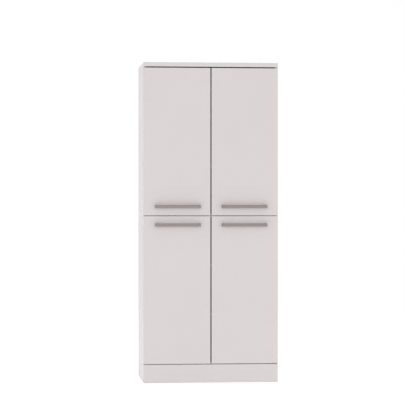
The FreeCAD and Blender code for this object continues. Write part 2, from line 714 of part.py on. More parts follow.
def hinge_plate(z):
    """A cross-shaped plate on the side panel, with a rail that the arm sits over."""
    inner, outer = SIDE_THICKNESS, SIDE_THICKNESS + PLATE_THICKNESS
    wing_front, wing_rear = PLATE_LINE - PLATE_WING_HALF_WIDTH, PLATE_LINE + PLATE_WING_HALF_WIDTH
    wing_low, wing_high = z - PLATE_WING_HALF_LENGTH, z + PLATE_WING_HALF_LENGTH
    wing = left_box(inner, outer, -wing_rear, -wing_front, wing_low, wing_high)
    wing = rounded(wing, PLATE_WING_CORNER_RADIUS, lambda e: same(e.Length, PLATE_THICKNESS))
    base = left_box(inner, outer, -PLATE_REAR, -PLATE_FRONT, z - PLATE_HALF_WIDTH, z + PLATE_HALF_WIDTH)
    half = ARM_WIDTH / 2 - ARM_WALL - PLATE_RAIL_SIDE_CLEARANCE
    rail_front = -PLATE_FRONT - PLATE_RAIL_SETBACK
    rail = left_box(inner, ARM_INWARD, -PLATE_REAR, rail_front, z - half, z + half)
    y, ends = front_y(-PLATE_LINE), (left_x(inner), left_x(outer))
    holes = [rod_x(PLATE_SCREW_RADIUS, *ends, y, z + offset) for offset in plate_screw_offsets()]
    ends = (left_x(ARM_INWARD - ARM_SCREW_BITE), left_x(ARM_INWARD))
    holes += [rod_x(ARM_SCREW_RADIUS, *ends, front_y(-place), z) for place in ARM_SCREW_PLACES]
    return cut_all(base.fuse([wing, rail]).removeSplitter(), holes)


def hinge_plate_screws(z):
    bite = PLATE_THICKNESS + PLATE_SCREW_BITE
    sizes = (PLATE_SCREW_RADIUS, bite, PLATE_SCREW_HEAD_RADIUS, PLATE_SCREW_HEAD)
    x, y = left_x(SIDE_THICKNESS + PLATE_THICKNESS), front_y(-PLATE_LINE)
    return [screw((x, y, z + offset), (-1, 0, 0), *sizes) for offset in plate_screw_offsets()]


def hinge_finger(z):
    """The arm's front end: a strip that bends outward into the cup, to the knuckle round the pin."""
    low, high = z - FINGER_WIDTH / 2, z + FINGER_WIDTH / 2
    outer = ARM_INWARD + FINGER_THICKNESS
    bend_inward = outer - FINGER_THICKNESS / 2 - FINGER_BEND_RADIUS
    bend_forward = HINGE_AXIS_FORWARD - FINGER_BEND_RADIUS
    near, far = FINGER_BEND_RADIUS - FINGER_THICKNESS / 2, FINGER_BEND_RADIUS + FINGER_THICKNESS / 2
    centre = Vector(left_x(bend_inward), front_y(bend_forward), low)
    bend = Part.makeCylinder(far, FINGER_WIDTH, centre).cut(Part.makeCylinder(near, FINGER_WIDTH, centre))
    bend = bend.common(left_box(bend_inward, outer, bend_forward, bend_forward + far, low, high))
    stem = left_box(ARM_INWARD, outer, -ARM_NECK - OVERRUN, bend_forward, low, high)
    sides = (HINGE_AXIS_FORWARD - FINGER_THICKNESS / 2, HINGE_AXIS_FORWARD + FINGER_THICKNESS / 2)
    tip = left_box(HINGE_AXIS_INWARD, bend_inward, *sides, low, high)
    return stem.fuse([bend, tip, hinge_cylinder(KNUCKLE_RADIUS, FINGER_WIDTH / 2, z)])


def hinge_arm(z):
    """A pressed channel over the plate's rail, with the finger at its front end."""
    half, outer = ARM_WIDTH / 2, ARM_INWARD + FINGER_THICKNESS
    floor = SIDE_THICKNESS + PLATE_THICKNESS + ARM_FLOOR_CLEARANCE
    web = left_box(ARM_INWARD, outer, -ARM_LENGTH, -ARM_NECK, z - half, z + half)
    skirts = [
        left_box(floor, outer, -ARM_LENGTH, -ARM_SKIRT_START, z - half, z - half + ARM_WALL),
        left_box(floor, outer, -ARM_LENGTH, -ARM_SKIRT_START, z + half - ARM_WALL, z + half),
    ]
    body = web.fuse([*skirts, hinge_finger(z)]).removeSplitter()
    ends = (left_x(ARM_INWARD), left_x(outer))
    holes = [rod_x(ARM_SCREW_RADIUS, *ends, front_y(-place), z) for place in ARM_SCREW_PLACES]
    holes.append(hinge_cylinder(HINGE_PIN_RADIUS + HINGE_PIN_CLEARANCE, FINGER_WIDTH / 2, z))
    return cut_all(body, holes)


def hinge_arm_screws(z):
    bite = FINGER_THICKNESS + ARM_SCREW_BITE
    sizes = (ARM_SCREW_RADIUS, bite, ARM_SCREW_HEAD_RADIUS, ARM_SCREW_HEAD)
    seat = left_x(ARM_INWARD + FINGER_THICKNESS)
    return [screw((seat, front_y(-place), z), (-1, 0, 0), *sizes) for place in ARM_SCREW_PLACES]


def cup_screw_places(z):
    x = left_x(CUP_INWARD + CUP_SCREW_OFFSET)
    return [(x, z - CUP_SCREW_SPACING / 2), (x, z + CUP_SCREW_SPACING / 2)]


def cup_flange(z):
    """The cup's rim and its two screw wings, which lie on the door's back."""
    x, door_back = left_x(CUP_INWARD), front_y(DOOR_STANDOFF)
    rim = door_back + CUP_FLANGE_THICKNESS
    middle = x + CUP_SCREW_OFFSET
    wing_x = (middle - CUP_WING_HALF_WIDTH, middle + CUP_WING_HALF_WIDTH)
    wing = box(*wing_x, door_back, rim, z - CUP_WING_HALF_LENGTH, z + CUP_WING_HALF_LENGTH)
    wing = rounded(wing, CUP_WING_CORNER_RADIUS, lambda e: same(e.Length, CUP_FLANGE_THICKNESS))
    radius = CUP_RADIUS + CUP_FLANGE_WIDTH
    flange = rod_y(radius, x, door_back, rim, z).fuse(wing)
    edge = left_x(CUP_INWARD - CUP_RADIUS)
    return flange.cut(box(x - radius - OVERRUN, edge, door_back, rim, z - radius, z + radius))


def cup_lug(z, side):
    """The left cup's lug above or below the finger, which holds one end of the pin."""
    x, door_back = left_x(CUP_INWARD), front_y(DOOR_STANDOFF)
    low, high = sorted((z + side * LUG_HALF_SPAN, z + side * (LUG_HALF_SPAN - LUG_WIDTH)))
    across = (CUP_INWARD - CUP_RADIUS, HINGE_AXIS_INWARD + LUG_REACH)
    lug = left_box(*across, HINGE_AXIS_FORWARD - LUG_REACH, CUP_FLOOR, low, high)
    return lug.common(rod_y(CUP_RADIUS - CUP_WALL / 2, x, front_y(CUP_FLOOR), door_back, z))


def hinge_cup(z):
    x, door_back = left_x(CUP_INWARD), front_y(DOOR_STANDOFF)
    rim = door_back + CUP_FLANGE_THICKNESS
    body = rod_y(CUP_RADIUS, x, door_back - CUP_DEPTH, door_back, z).fuse(cup_flange(z))
    body = body.cut(rod_y(CUP_RADIUS - CUP_WALL, x, front_y(CUP_FLOOR), rim, z))
    body = body.fuse([cup_lug(z, -1), cup_lug(z, 1)]).removeSplitter()
    places = cup_screw_places(z)
    holes = [rod_y(CUP_SCREW_RADIUS, screw_x, door_back, rim, screw_z) for screw_x, screw_z in places]
    return cut_all(body, [hinge_pin(z), *holes])


def hinge_pin(z):
    return hinge_cylinder(HINGE_PIN_RADIUS, LUG_HALF_SPAN, z)


def cup_screws(z):
    bite = CUP_FLANGE_THICKNESS + CUP_SCREW_BITE
    sizes = (CUP_SCREW_RADIUS, bite, CUP_SCREW_HEAD_RADIUS, CUP_SCREW_HEAD)
    seat = front_y(DOOR_STANDOFF - CUP_FLANGE_THICKNESS)
    return [screw((x, seat, screw_z), (0, -1, 0), *sizes) for x, screw_z in cup_screw_places(z)]


# Doors. Each function makes the left door's piece in a row.


def handle_height(row):
    """Handles sit near the gap between the rows, so both are within reach."""
    low, high = DOOR_ROWS[row]
    return low + HANDLE_FROM_DOOR_END if row == "upper" else high - HANDLE_FROM_DOOR_END


def handle_middle():
    """A little nearer to the other door than the door's own middle."""
    return left_x(DOOR_SIDE_INSET + DOOR_WIDTH / 2 + HANDLE_OFF_CENTRE)


def handle_screw_places():
    offset = (HANDLE_LENGTH - HANDLE_POST) / 2
    return [handle_middle() - offset, handle_middle() + offset]


def door_panel(row):
    low, high = DOOR_ROWS[row]
    back, face = front_y(DOOR_STANDOFF), front_y(DOOR_FACE)
    board = box(left_x(DOOR_SIDE_INSET), left_x(DOOR_SIDE_INSET + DOOR_WIDTH), face, back, low, high)
    board = rounded(board, EDGE_RADIUS, lambda e: e.CenterOfMass.y < back - SAME)
    cup_end, screw_end = back - CUP_DEPTH - CUP_CLEARANCE, back - CUP_SCREW_BITE
    holes = []
    for z in hinge_heights(row):
        holes.append(rod_y(CUP_RADIUS + CUP_CLEARANCE, left_x(CUP_INWARD), cup_end, back, z))
        holes += [rod_y(CUP_SCREW_RADIUS, x, screw_end, back, at) for x, at in cup_screw_places(z)]
    radius = HANDLE_SCREW_RADIUS + HANDLE_SCREW_CLEARANCE
    holes += [rod_y(radius, x, face, back, handle_height(row)) for x in handle_screw_places()]
    return cut_all(board, holes)


def handle(row):
    """A flat bar on two posts, all one piece, with its outer edges softened."""
    x, z = handle_middle(), handle_height(row)
    half, low, high = HANDLE_LENGTH / 2, z - HANDLE_HEIGHT / 2, z + HANDLE_HEIGHT / 2
    face, tip = front_y(DOOR_FACE), front_y(DOOR_FACE + HANDLE_PROJECTION)

    def upright_at(y):
        return lambda e: same(e.CenterOfMass.z, z) and same(e.CenterOfMass.y, y)

    def outer(edge):
        point = edge.CenterOfMass
        at_end = half - abs(point.x - x) < HANDLE_OUTER_RADIUS
        at_front = point.y - tip < HANDLE_OUTER_RADIUS
        return same(abs(point.z - z), HANDLE_HEIGHT / 2) and (at_end or at_front)

    body = rounded(box(x - half, x + half, tip, face, low, high), HANDLE_OUTER_RADIUS, upright_at(tip))
    grip_half, grip_front = half - HANDLE_POST, tip + HANDLE_BAR
    grip = box(x - grip_half, x + grip_half, grip_front, face + OVERRUN, low, high)
    body = body.cut(rounded(grip, HANDLE_INNER_RADIUS, upright_at(grip_front)))
    body = rounded(body, HANDLE_EDGE_RADIUS, outer)
    end = face - HANDLE_SCREW_BITE
    holes = [rod_y(HANDLE_SCREW_RADIUS, place, end, face, z) for place in handle_screw_places()]
    return cut_all(body, holes)


def handle_screws(row):
    bite = DOOR_THICKNESS + HANDLE_SCREW_BITE
    sizes = (HANDLE_SCREW_RADIUS, bite, HANDLE_SCREW_HEAD_RADIUS, HANDLE_SCREW_HEAD)
    seat, z = front_y(DOOR_STANDOFF), handle_height(row)
    return [screw((x, seat, z), (0, -1, 0), *sizes) for x in handle_screw_places()]


def door_bumpers(row):
    """Two soft dots on the door's back, where it closes on the front edge of a fixed board."""
    low, high = DOOR_ROWS[row]
    lap = (SHELF_THICKNESS - DOOR_ROW_GAP) / 4
    free_side = left_x(DOOR_SIDE_INSET + DOOR_WIDTH - BUMPER_FROM_EDGE)
    places = {
        "lower": [(free_side, low + lap), (free_side, high - lap)],
        "upper": [(free_side, low + lap), (handle_middle(), low + lap)],
    }
    back = front_y(DOOR_STANDOFF)
    return [rod_y(BUMPER_RADIUS, x, back, back + BUMPER_HEIGHT, z) for x, z in places[row]]


# The nodes.


def carcass_nodes():
    heights = [z for row in DOOR_ROWS for z in hinge_heights(row)]
    nodes = {
        "left_side_panel": [left_side_panel()],
        "right_side_panel": [mirrored(left_side_panel())],
        "top_panel": [top_panel()],
        "bottom_panel": [bottom_panel()],
        "middle_shelf": [middle_shelf()],
        "plinth_board": [plinth_board()],
        "rear_plinth_rail": [rear_plinth_rail()],
        "upper_back_panel": [upper_back_panel()],
        "lower_back_panel": [lower_back_panel()],
        "back_joining_strip": [back_joining_strip()],
        "back_panel_screws": back_panel_screws(),
        "shelf_pins": shelf_pins(),
        "cam_housings": cam_housings(),
        "cam_bolts": cam_bolts(),
        "wooden_dowels": dowels(),
        "corner_blocks": corner_blocks(),
        "corner_block_screws": corner_block_screws(),
        "floor_glides": floor_glides(),
        "wall_bracket": [wall_bracket()],
        "wall_bracket_screws": wall_bracket_screws(),
        "hinge_mounting_plates": both_halves([hinge_plate(z) for z in heights]),
        "hinge_plate_screws": both_halves([piece for z in heights for piece in hinge_plate_screws(z)]),
        "hinge_arms": both_halves([hinge_arm(z) for z in heights]),
        "hinge_arm_screws": both_halves([piece for z in heights for piece in hinge_arm_screws(z)]),
    }
    for n, z in enumerate(pin_heights(), start=1):
        nodes[f"adjustable_shelf_{n}"] = [adjustable_shelf(z)]
    return nodes


def door_nodes(row):
    """The left door's nodes in a row, by the piece's name."""
    heights = hinge_heights(row)
    return {
        "door_panel": [door_panel(row)],
        "handle": [handle(row)],
        "handle_screws": handle_screws(row),
        "hinge_cups": [hinge_cup(z) for z in heights],
        "hinge_pins": [hinge_pin(z) for z in heights],
        "cup_screws": [piece for z in heights for piece in cup_screws(z)],
        "bumpers": door_bumpers(row),
    }


def all_nodes():
    nodes = carcass_nodes()
    for row in DOOR_ROWS:
        for piece, solids in door_nodes(row).items():
            nodes[f"{row}_left_{piece}"] = solids
            nodes[f"{row}_right_{piece}"] = [mirrored(solid) for solid in solids]
    return nodes


def export(name, shapes):
    """Writes one node, after making sure that each of its pieces is one closed solid."""
    for shape in shapes:
        if not shape.isValid() or len(shape.Solids) != 1 or shape.Volume <= 0:
            raise ValueError(f"{name} has a piece that is not one valid closed solid")
    solids = [shape.Solids[0] for shape in shapes]
    node = solids[0] if len(solids) == 1 else Part.makeCompound(solids)
    node.exportStep(f"parts/{name}.step")


def main():
    os.makedirs("parts", exist_ok=True)
    for name, shapes in all_nodes().items():
        export(name, shapes)


main()
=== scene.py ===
import math

import bmesh
import bpy
from mathutils import Matrix, Vector


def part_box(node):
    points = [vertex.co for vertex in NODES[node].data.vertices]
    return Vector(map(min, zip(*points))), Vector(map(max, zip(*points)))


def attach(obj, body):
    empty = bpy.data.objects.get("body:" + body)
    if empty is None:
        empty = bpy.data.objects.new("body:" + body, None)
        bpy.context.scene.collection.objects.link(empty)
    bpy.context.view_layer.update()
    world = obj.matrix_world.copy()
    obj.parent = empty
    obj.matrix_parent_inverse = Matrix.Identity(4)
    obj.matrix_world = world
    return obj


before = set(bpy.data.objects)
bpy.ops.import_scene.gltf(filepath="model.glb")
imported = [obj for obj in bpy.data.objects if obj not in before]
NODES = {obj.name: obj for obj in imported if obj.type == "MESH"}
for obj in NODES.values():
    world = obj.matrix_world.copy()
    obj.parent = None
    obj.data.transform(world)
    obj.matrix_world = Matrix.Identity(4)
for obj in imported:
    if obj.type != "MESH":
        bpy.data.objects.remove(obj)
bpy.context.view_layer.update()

MM = 0.001
WIDE = {"x": 0, "y": 1, "z": 2}

# Surface tones, in linear light.
WHITE = (0.693, 0.667, 0.664)
DOOR_WHITE = (0.699, 0.649, 0.652)
INSIDE_WHITE = (0.830, 0.808, 0.798)
CHIP_LIGHT = (0.500, 0.350, 0.205)
CHIP_DARK = (0.235, 0.145, 0.075)
FIBRE_LIGHT = (0.330, 0.205, 0.110)
FIBRE_DARK = (0.205, 0.120, 0.062)

# Melamine-faced board. Distances are from the board's own faces and edges, scales are per metre.
SKIN_DEPTH = 0.62 * MM
BAND_THICKNESS = 1.0 * MM
JOINT_SOFT_FROM = 0.06 * MM
JOINT_SOFT_TO = 0.13 * MM
RUBBED_FROM = 0.3 * MM
RUBBED_TO = 3.2 * MM
CORE_FROM = 2.0 * MM
CLOUD_SCALE = 3.2
HANDLING_SCALE = 11
RIPPLE_SCALE = 34
PEARL_SCALE = 620
FINE_PEARL_SCALE = 1900
SPECKLE_SCALE = 780
SATIN = 0.40
RAW_ROUGHNESS = 0.9

# Hardboard's wire mark, one ridge each way.
WIRE_PITCH = 1.3 * MM


class Tree:
    """A material's node tree, built by short calls."""

    def __init__(self, name):
        self.material = bpy.data.materials.new(name)
        self.material.use_nodes = True
        self.tree = self.material.node_tree
        self.nodes = self.tree.nodes
        self.links = self.tree.links
        self.shader = next(n for n in self.nodes if n.type == "BSDF_PRINCIPLED")
        self.place = self.add("ShaderNodeTexCoord").outputs["Object"]

    def add(self, kind, **settings):
        node = self.nodes.new(kind)
        for key, value in settings.items():
            setattr(node, key, value)
        return node

    def put(self, value, socket):
        if hasattr(value, "is_output"):
            self.links.new(value, socket)
        else:
            socket.default_value = value

    def math(self, operation, a, b=0.0):
        node = self.add("ShaderNodeMath", operation=operation)
        self.put(a, node.inputs[0])
        self.put(b, node.inputs[1])
        return node.outputs[0]

    def vector(self, operation, a, b=(0, 0, 0)):
        node = self.add("ShaderNodeVectorMath", operation=operation)
        self.put(a, node.inputs[0])
        self.put(b, node.inputs[1])
        return node.outputs["Value" if operation == "DOT_PRODUCT" else "Vector"]

    def stretched(self, scale):
        return self.vector("MULTIPLY", self.place, scale)

    def noise(self, scale, detail=2.0, rough=0.5, at=None, distortion=0.0):
        node = self.add("ShaderNodeTexNoise")
        self.put(at or self.place, node.inputs["Vector"])
        node.inputs["Scale"].default_value = scale
        node.inputs["Detail"].default_value = detail
        node.inputs["Roughness"].default_value = rough
        node.inputs["Distortion"].default_value = distortion
        return node.outputs["Fac"]

    def cells(self, scale, at=None, output="Color"):
        node = self.add("ShaderNodeTexVoronoi", feature="F1")
        self.put(at or self.place, node.inputs["Vector"])
        node.inputs["Scale"].default_value = scale
        return node.outputs[output]

    def remap(self, value, low, high, to_low=0.0, to_high=1.0, smooth=False):
        node = self.add("ShaderNodeMapRange", clamp=True)
        node.interpolation_type = "SMOOTHSTEP" if smooth else "LINEAR"
        for socket, item in zip(node.inputs, (value, low, high, to_low, to_high)):
            self.put(item, socket)
        return node.outputs[0]

    def mix(self, factor, a, b):
        node = self.add("ShaderNodeMix", data_type="RGBA")
        self.put(factor, node.inputs[0])
        self.put(a if hasattr(a, "is_output") else (*a, 1), node.inputs[6])
        self.put(b if hasattr(b, "is_output") else (*b, 1), node.inputs[7])
        return node.outputs[2]

    def blend(self, factor, a, b):
        node = self.add("ShaderNodeMix", data_type="FLOAT")
        self.put(factor, node.inputs[0])
        self.put(a, node.inputs[2])
        self.put(b, node.inputs[3])
        return node.outputs[0]

    def ridges(self, axis, pitch):
        """Even ridges that follow each other along one axis, from -1 to 1."""
        split = self.add("ShaderNodeSeparateXYZ")
        self.put(self.place, split.inputs[0])
        return self.math("SINE", self.math("MULTIPLY", split.outputs[axis], 2 * math.pi / pitch))

    def bump(self, height, distance, strength):
        node = self.add("ShaderNodeBump")
        self.put(height, node.inputs["Height"])
        node.inputs["Distance"].default_value = distance
        node.inputs["Strength"].default_value = strength
        return node.outputs["Normal"]

    def finish(self, colour, roughness, normal, **uniform):
        self.put(colour, self.shader.inputs["Base Color"])
        self.put(roughness, self.shader.inputs["Roughness"])
        self.put(normal, self.shader.inputs["Normal"])
        for name, value in uniform.items():
            self.shader.inputs[name.replace("_", " ")].default_value = value
        return self.material


def shade(tone, factor):
    return tuple(channel * factor for channel in tone)


def facing(t, directions):
    """1 on faces that face one of these directions, 0 elsewhere."""
    normal = t.add("ShaderNodeTexCoord").outputs["Normal"]
    total = 0.0
    for direction in directions:
        along = t.math("GREATER_THAN", t.vector("DOT_PRODUCT", normal, direction), 0.8)
        total = t.math("MAXIMUM", total, along)
    return total


def depths(t, low, high):
    """How far a point is from the board's nearest face, and from its nearest edge."""
    inner = t.vector("MINIMUM", t.vector("SUBTRACT", t.place, low), t.vector("SUBTRACT", high, t.place))
    split = t.add("ShaderNodeSeparateXYZ")
    t.put(inner, split.inputs[0])
    a, b, c = split.outputs
    low_pair, high_pair = t.math("MINIMUM", a, b), t.math("MAXIMUM", a, b)
    nearest = t.math("MINIMUM", low_pair, c)
    edge = t.math("MAXIMUM", low_pair, t.math("MINIMUM", high_pair, c))
    return nearest, edge, (a, b, c)


def chipboard(t, core):
    """Colour and height of raw particle board. core is 0 at the board's faces and 1 in its middle."""
    coarse = t.cells(330, at=t.stretched((1.0, 1.0, 1.6)))
    fine = t.cells(900)
    chips = t.blend(core, fine, coarse)
    grey = t.add("ShaderNodeRGBToBW")
    t.put(chips, grey.inputs[0])
    mottle = t.noise(420, 5.0, 0.65)
    height = t.math("ADD", t.math("MULTIPLY", grey.outputs[0], 0.6), t.math("MULTIPLY", mottle, 0.6))
    colour = t.mix(t.remap(height, 0.25, 0.95), CHIP_DARK, CHIP_LIGHT)
    return colour, height


def board(name, node, wide, tone, raw):
    """Melamine-faced board: pearl texture, banded edges, and raw board in holes and on unbanded edges."""
    t = Tree(name)
    low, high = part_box(node)
    nearest, edge, along = depths(t, tuple(low), tuple(high))
    half = (high - low)[WIDE[wide]] / 2
    core = t.remap(along[WIDE[wide]], CORE_FROM, half, smooth=True)
    bare_colour, bare_height = chipboard(t, core)

    clouds = t.noise(CLOUD_SCALE, 3.0, 0.55)
    speckle = t.noise(SPECKLE_SCALE, 3.0, 0.6)
    handling = t.noise(HANDLING_SCALE, 4.0, 0.62, distortion=0.6)
    colour = t.mix(t.remap(clouds, 0.3, 0.7), shade(tone, 0.985), shade(tone, 1.012))
    colour = t.mix(t.remap(speckle, 0.25, 0.75, 0.0, 0.5), colour, shade(tone, 0.965))
    wide_axis = [0, 0, 0]
    wide_axis[WIDE[wide]] = 1
    on_wide = facing(t, [tuple(wide_axis), tuple(-v for v in wide_axis)])
    off_joint = t.math("ABSOLUTE", t.math("SUBTRACT", edge, BAND_THICKNESS))
    joint = t.math("MULTIPLY", t.remap(off_joint, JOINT_SOFT_FROM, JOINT_SOFT_TO, 1.0, 0.0), on_wide)
    colour = t.mix(t.math("MULTIPLY", joint, 0.30), colour, shade(tone, 0.62))
    near_edge = t.remap(edge, RUBBED_FROM, RUBBED_TO, 1.0, 0.0, smooth=True)
    rubbed = t.math("MULTIPLY", near_edge, t.remap(handling, 0.42, 0.68))
    colour = t.mix(t.math("MULTIPLY", rubbed, 0.22), colour, shade(tone, 0.86))

    bare = t.math("GREATER_THAN", nearest, SKIN_DEPTH)
    if raw:
        bare = t.math("MAXIMUM", bare, facing(t, raw))
    colour = t.mix(bare, colour, bare_colour)

    smear = t.remap(handling, 0.3, 0.75, SATIN - 0.05, SATIN + 0.07)
    smear = t.math("ADD", smear, t.math("MULTIPLY", rubbed, 0.10))
    roughness = t.blend(bare, smear, RAW_ROUGHNESS)
    fine_pearl = t.math("MULTIPLY", t.noise(FINE_PEARL_SCALE, 1.0), 0.35)
    pearl = t.math("ADD", t.noise(PEARL_SCALE, 2.0, 0.5), fine_pearl)
    skin = t.math("SUBTRACT", t.math("MULTIPLY", pearl, 0.09), t.math("MULTIPLY", joint, 0.10))
    skin = t.math("ADD", skin, t.math("MULTIPLY", t.noise(RIPPLE_SCALE, 1.0), 0.14))
    height = t.blend(bare, skin, t.math("MULTIPLY", bare_height, 0.55))
    return t.finish(colour, roughness, t.bump(height, 0.5 * MM, 0.55), Specular_IOR_Level=0.45)


def hardboard(name):
    """Thin fibreboard: lacquered on the side that faces the shelves, bare and brown behind."""
    t = Tree(name)
    fibres = t.noise(160, 6.0, 0.7, at=t.stretched((1.0, 1.0, 1.6)), distortion=1.4)
    clumps = t.noise(28, 3.0, 0.6)
    brown = t.mix(t.remap(fibres, 0.32, 0.68), FIBRE_DARK, FIBRE_LIGHT)
    brown = t.mix(t.remap(clumps, 0.35, 0.7, 0.0, 0.4), brown, shade(FIBRE_LIGHT, 1.15))
    wire_mark = t.math("MULTIPLY", t.ridges(WIDE["x"], WIRE_PITCH), t.ridges(WIDE["z"], WIRE_PITCH))
    lacquer = t.mix(t.remap(clumps, 0.3, 0.7), shade(INSIDE_WHITE, 0.965), INSIDE_WHITE)
    lacquered = facing(t, [(0, -1, 0)])
    colour = t.mix(lacquered, brown, lacquer)
    bare_roughness = t.remap(fibres, 0.3, 0.7, 0.68, 0.86)
    roughness = t.blend(lacquered, bare_roughness, t.remap(fibres, 0.3, 0.7, 0.42, 0.52))
    rough_side = t.math("ADD", t.math("MULTIPLY", fibres, 0.5), t.math("MULTIPLY", wire_mark, 0.18))
    height = t.blend(lacquered, rough_side, t.math("MULTIPLY", fibres, 0.10))
    return t.finish(colour, roughness, t.bump(height, 0.4 * MM, 0.6))


def brushed(name, tone, roughness, along, depth, fleck):
    """Metal brushed along an axis, with fine lines, soft smears and a little tarnish."""
    t = Tree(name)
    scale = [1.0, 1.0, 1.0]
    scale[WIDE[along]] = 0.012
    lines = t.noise(5200, 3.0, 0.7, at=t.stretched(tuple(scale)))
    smears = t.noise(46, 3.0, 0.55)
    colour = t.mix(t.remap(lines, 0.3, 0.7), shade(tone, 1 - fleck), shade(tone, 1 + fleck))
    colour = t.mix(t.remap(smears, 0.45, 0.75, 0.0, 0.5), colour, shade(tone, 0.94))
    rough = t.math("ADD", t.remap(lines, 0.25, 0.75, roughness - 0.07, roughness + 0.07),
                   t.remap(smears, 0.3, 0.7, -0.03, 0.04))
    height = t.math("ADD", t.math("MULTIPLY", lines, depth), t.math("MULTIPLY", smears, 0.08))
    return t.finish(colour, rough, t.bump(height, 0.12 * MM, 0.5), Metallic=1.0)


def plated(name, tone, roughness, spangle, grain=900, fleck=0.09):
    """Plated or cast metal with a fine grain, and a mottled bloom."""
    t = Tree(name)
    fine = t.noise(grain, 4.0, 0.6)
    bloom = t.noise(120, 3.0, 0.6, distortion=0.8)
    colour = t.mix(t.remap(fine, 0.3, 0.7), shade(tone, 1 - fleck), shade(tone, 1 + fleck))
    colour = t.mix(t.remap(bloom, 0.45, 0.7, 0.0, spangle), colour, shade(tone, 0.78))
    rough = t.math("ADD", t.remap(fine, 0.25, 0.75, roughness - fleck / 2, roughness + fleck / 2),
                   t.remap(bloom, 0.3, 0.7, -fleck / 3, fleck / 2))
    return t.finish(colour, rough, t.bump(fine, 0.05 * MM, 4 * fleck), Metallic=1.0)


def moulded(name, tone, roughness=0.42, rubbery=False):
    """Moulded plastic: spark-eroded grain and slight flow marks."""
    t = Tree(name)
    grain = t.noise(1500, 2.0, 0.5)
    flow = t.noise(70, 2.0, 0.5, distortion=1.2)
    colour = t.mix(t.remap(flow, 0.3, 0.7), shade(tone, 0.955), shade(tone, 1.02))
    colour = t.mix(t.remap(grain, 0.3, 0.7, 0.0, 0.3), colour, shade(tone, 0.93))
    rough = t.math("ADD", t.remap(grain, 0.25, 0.75, roughness - 0.06, roughness + 0.08),
                   t.remap(flow, 0.3, 0.7, -0.03, 0.03))
    normal = t.bump(grain, 0.06 * MM, 0.5)
    if rubbery:
        return t.finish(colour, rough, normal, Transmission_Weight=0.45, IOR=1.43)
    return t.finish(colour, rough, normal, Specular_IOR_Level=0.45)


def beech(name):
    """Fluted beech dowel, seen at its ends and in open joints."""
    t = Tree(name)
    grain = t.noise(240, 5.0, 0.6, at=t.stretched((0.12, 1.0, 1.0)))
    flecks = t.cells(700, at=t.stretched((0.25, 1.0, 1.0)), output="Distance")
    colour = t.mix(t.remap(grain, 0.3, 0.7), (0.50, 0.33, 0.18), (0.66, 0.47, 0.28))
    colour = t.mix(t.remap(flecks, 0.0, 0.25, 0.45, 0.0), colour, (0.36, 0.21, 0.10))
    return t.finish(colour, t.remap(grain, 0.3, 0.7, 0.55, 0.7), t.bump(grain, 0.1 * MM, 0.6))


def coat(node, material):
    slots = NODES[node].data.materials
    slots.clear()
    slots.append(material)


def use(piece, material):
    piece.data.materials.append(material)


# Boards. Each has its own material, because the edges are found from the board's own box.

REAR, UNDER, LEFT, RIGHT = (0, 1, 0), (0, 0, -1), (-1, 0, 0), (1, 0, 0)
BOARDS = {
    "left_side_panel": ("x", WHITE, (REAR, UNDER)),
    "right_side_panel": ("x", WHITE, (REAR, UNDER)),
    "top_panel": ("z", WHITE, (REAR,)),
    "bottom_panel": ("z", INSIDE_WHITE, (REAR, LEFT, RIGHT)),
    "middle_shelf": ("z", INSIDE_WHITE, (REAR, LEFT, RIGHT)),
    "plinth_board": ("y", DOOR_WHITE, (UNDER,)),
    "rear_plinth_rail": ("y", WHITE, (UNDER, LEFT, RIGHT)),
}
for n in range(1, 5):
    BOARDS[f"adjustable_shelf_{n}"] = ("z", INSIDE_WHITE, (REAR,))
for row in ("upper", "lower"):
    for side in ("left", "right"):
        BOARDS[f"{row}_{side}_door_panel"] = ("y", DOOR_WHITE, ())
for node, (wide, tone, raw) in BOARDS.items():
    coat(node, board(f"board_{node}", node, wide, tone, raw))

fibreboard = hardboard("lacquered_fibreboard")
coat("upper_back_panel", fibreboard)
coat("lower_back_panel", fibreboard)

# Fittings.

nickel = plated("nickel_plate", (0.66, 0.645, 0.62), 0.26, spangle=0.08, fleck=0.03)
zinc = plated("zinc_plate", (0.56, 0.57, 0.575), 0.33, spangle=0.4, grain=1300)
cast_zinc = plated("cast_zinc", (0.42, 0.425, 0.43), 0.47, spangle=0.6, grain=620)
satin_nickel = brushed("satin_nickel_handle", (0.345, 0.300, 0.285), 0.38, "x", depth=0.22, fleck=0.16)
white_plastic = moulded("white_plastic", (0.72, 0.71, 0.68))
clear_rubber = moulded("clear_rubber", (0.78, 0.78, 0.76), 0.35, rubbery=True)
beech_wood = beech("beech_dowel")

FITTINGS = {
    "hinge_mounting_plates": nickel,
    "hinge_arms": nickel,
    "hinge_plate_screws": zinc,
    "hinge_arm_screws": zinc,
    "back_panel_screws": zinc,
    "corner_block_screws": zinc,
    "wall_bracket_screws": zinc,
    "wall_bracket": zinc,
    "shelf_pins": nickel,
    "cam_bolts": zinc,
    "cam_housings": cast_zinc,
    "wooden_dowels": beech_wood,
    "corner_blocks": white_plastic,
    "floor_glides": white_plastic,
    "back_joining_strip": white_plastic,
}
for row in ("upper", "lower"):
    for side in ("left", "right"):
        FITTINGS[f"{row}_{side}_handle"] = satin_nickel
        FITTINGS[f"{row}_{side}_handle_screws"] = zinc
        FITTINGS[f"{row}_{side}_cup_screws"] = zinc
        FITTINGS[f"{row}_{side}_hinge_cups"] = nickel
        FITTINGS[f"{row}_{side}_hinge_pins"] = nickel
        FITTINGS[f"{row}_{side}_bumpers"] = clear_rubber
for node, material in FITTINGS.items():
    coat(node, material)


# Snap-in caps over the cams: a thin domed disc with a rolled rim.

CAM_INSET = 34 * MM
CAM_FRONT_INSET = 50 * MM
CAM_REAR_INSET = 70 * MM
CAP_RADIUS = 8.6 * MM
CAP_RIM = 0.495 * MM
CAP_SKIRT = 0.6 * CAP_RIM
CAP_DOME = 0.22 * MM
CAP_STEPS = 6
CAP_SIDES = 40


